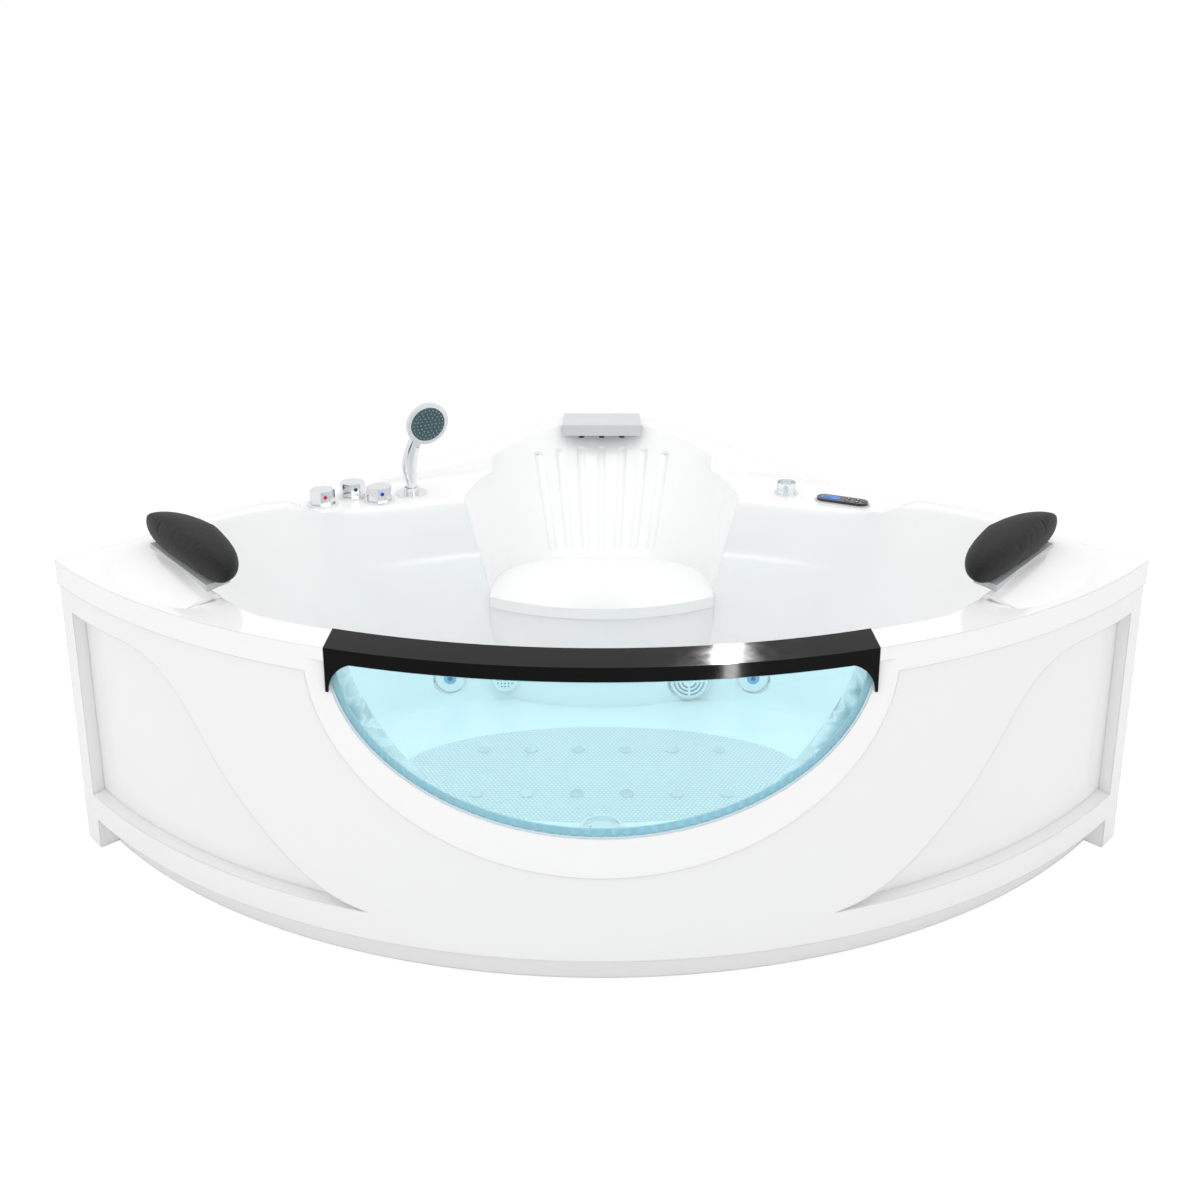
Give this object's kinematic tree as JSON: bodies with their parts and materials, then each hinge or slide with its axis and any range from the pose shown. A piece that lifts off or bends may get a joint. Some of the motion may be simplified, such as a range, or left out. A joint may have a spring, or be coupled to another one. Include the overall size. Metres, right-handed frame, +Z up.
{
  "type": "jetted bathtub",
  "caption": "Corner jetted bath with curved glass front, moulded seat, headrests, taps, hand shower, jets and pump on a steel frame.",
  "frame": {"origin": "bottom centre of the whole object, on the ground", "axes": "+Z up, -Y out of the curved glass front, +Y to the room corner, +X to the right seen from the front"},
  "size_m": [2.1214, 1.5258, 0.8119],
  "materials": {
    "acrylic": "polished white sanitary acrylic",
    "apron_panel": "gloss white",
    "black_gloss": "piano black",
    "black_plastic": "satin black",
    "blower_plastic": "matte dark grey",
    "brass": "machined",
    "button": "satin with a pale mark",
    "chrome": "polished",
    "clear_hose": "translucent",
    "clear_knob": "frosted clear",
    "copper_pipe": "drawn copper",
    "display": "lit blue display",
    "foot_plastic": "matte black",
    "frame_steel": "grey primer",
    "grey_plastic": "satin light grey",
    "jet_nozzle": "lit blue",
    "motor_paint": "dark grey paint",
    "pillow_foam": "charcoal skinned foam with a fine grain",
    "seal_silicone": "translucent silicone",
    "shower_chrome": "polished",
    "spout_plastic": "gloss light grey",
    "spray_plate": "dark grey green",
    "tinted_glass": "clear with a light blue tint",
    "white_pipe": "plain white pipe",
    "wood_board": "raw particle board",
    "zinc_steel": "zinc plated"
  },
  "bodies": {
    "tub": {"air_blower": "blower_plastic", "air_control_pipe": "clear_hose", "air_loop": "white_pipe", "air_valve": "chrome", "apron_brackets": "zinc_steel", "apron_screws": "zinc_steel", "base_board": "wood_board", "control_box": "grey_plastic", "drain_flange": "chrome", "equipment_tray": "zinc_steel", "floor_air_jets": "chrome", "foot_lock_nuts": "zinc_steel", "front_apron": "apron_panel", "handrail": "black_gloss", "jet_bodies": "white_pipe", "keypad_bezel": "grey_plastic", "keypad_display": "display", "keypad_panel": "black_gloss", "levelling_feet": "foot_plastic", "mixing_pipes": "copper_pipe", "pillow_left": "pillow_foam", "pillow_mounts": "grey_plastic", "pillow_right": "pillow_foam", "pressure_manifold": "white_pipe", "pump_housing": "black_plastic", "pump_motor": "motor_paint", "shower_holder": "chrome", "spout_nozzles": "black_plastic", "spout_supply": "white_pipe", "steel_frame": "frame_steel", "strainer_body": "white_pipe", "strainer_cap": "chrome", "suction_body": "white_pipe", "suction_cover": "chrome", "suction_pipe": "white_pipe", "support_pads": "wood_board", "tap_escutcheons": "chrome", "tap_valves": "brass", "tub_shell": "acrylic", "waste_trap": "white_pipe", "water_supplies": "copper_pipe", "waterfall_spout": "spout_plastic", "window_glass": "tinted_glass", "window_seal": "seal_silicone"},
    "hot_tap": {"hot_handle": "chrome"},
    "diverter_tap": {"diverter_handle": "chrome"},
    "cold_tap": {"cold_handle": "chrome"},
    "shower": {"hand_shower": "shower_chrome", "spray_plate": "spray_plate"},
    "air_dial": {"air_knob": "clear_knob"},
    "ring_left": {"jet_ring_left": "chrome"},
    "ring_right": {"jet_ring_right": "chrome"},
    "nozzle_left": {"jet_nozzle_left": "jet_nozzle"},
    "nozzle_right": {"jet_nozzle_right": "jet_nozzle"},
    "plug": {"drain_plug": "chrome"},
    "button_1": {"keypad_button_1": "button"},
    "button_2": {"keypad_button_2": "button"},
    "button_3": {"keypad_button_3": "button"},
    "button_4": {"keypad_button_4": "button"},
    "button_5": {"keypad_button_5": "button"}
  },
  "joints": [
    {"name": "hot_turn", "type": "hinge", "parent": "tub", "child": "hot_tap", "pos_m": [-0.62438, 0.07909, 0.594], "axis": [0, 0, 1], "range_deg": [0, 90]},
    {"name": "diverter_turn", "type": "hinge", "parent": "tub", "child": "diverter_tap", "pos_m": [-0.56781, 0.13566, 0.594], "axis": [0, 0, 1], "range_deg": [0, 90]},
    {"name": "cold_turn", "type": "hinge", "parent": "tub", "child": "cold_tap", "pos_m": [-0.502, 0.10286, 0.594], "axis": [0, 0, 1], "range_deg": [0, 90]},
    {"name": "air_turn", "type": "hinge", "parent": "tub", "child": "air_dial", "pos_m": [0.424, 0.15586, 0.594], "axis": [0, 0, 1], "range_deg": [0, 180]},
    {"name": "ring_left_turn", "type": "hinge", "parent": "tub", "child": "ring_left", "pos_m": [-0.347, 0.04586, 0.188], "axis": [0, -1, 0], "range_deg": [0, 90]},
    {"name": "ring_right_turn", "type": "hinge", "parent": "tub", "child": "ring_right", "pos_m": [0.347, 0.04586, 0.188], "axis": [0, -1, 0], "range_deg": [0, 90]},
    {"name": "nozzle_left_swivel", "type": "hinge", "parent": "ring_left", "child": "nozzle_left", "pos_m": [-0.347, 0.04386, 0.188], "axis": [0, 0, 1], "range_deg": [-12, 12]},
    {"name": "nozzle_right_swivel", "type": "hinge", "parent": "ring_right", "child": "nozzle_right", "pos_m": [0.347, 0.04386, 0.188], "axis": [0, 0, 1], "range_deg": [-12, 12]},
    {"name": "shower_lift", "type": "slide", "parent": "tub", "child": "shower", "axis": [0, 0, 1], "range_m": [0, 0.35]},
    {"name": "plug_lift", "type": "slide", "parent": "tub", "child": "plug", "axis": [0, 0, 1], "range_m": [0, 0.008]},
    {"name": "button_1_press", "type": "slide", "parent": "tub", "child": "button_1", "axis": [0, 0, -1], "range_m": [0, 0.0008], "stiffness_N_per_m": 800, "springref_m": -0.0008},
    {"name": "button_2_press", "type": "slide", "parent": "tub", "child": "button_2", "axis": [0, 0, -1], "range_m": [0, 0.0008], "stiffness_N_per_m": 800, "springref_m": -0.0008},
    {"name": "button_3_press", "type": "slide", "parent": "tub", "child": "button_3", "axis": [0, 0, -1], "range_m": [0, 0.0008], "stiffness_N_per_m": 800, "springref_m": -0.0008},
    {"name": "button_4_press", "type": "slide", "parent": "tub", "child": "button_4", "axis": [0, 0, -1], "range_m": [0, 0.0008], "stiffness_N_per_m": 800, "springref_m": -0.0008},
    {"name": "button_5_press", "type": "slide", "parent": "tub", "child": "button_5", "axis": [0, 0, -1], "range_m": [0, 0.0008], "stiffness_N_per_m": 800, "springref_m": -0.0008}
  ]
}
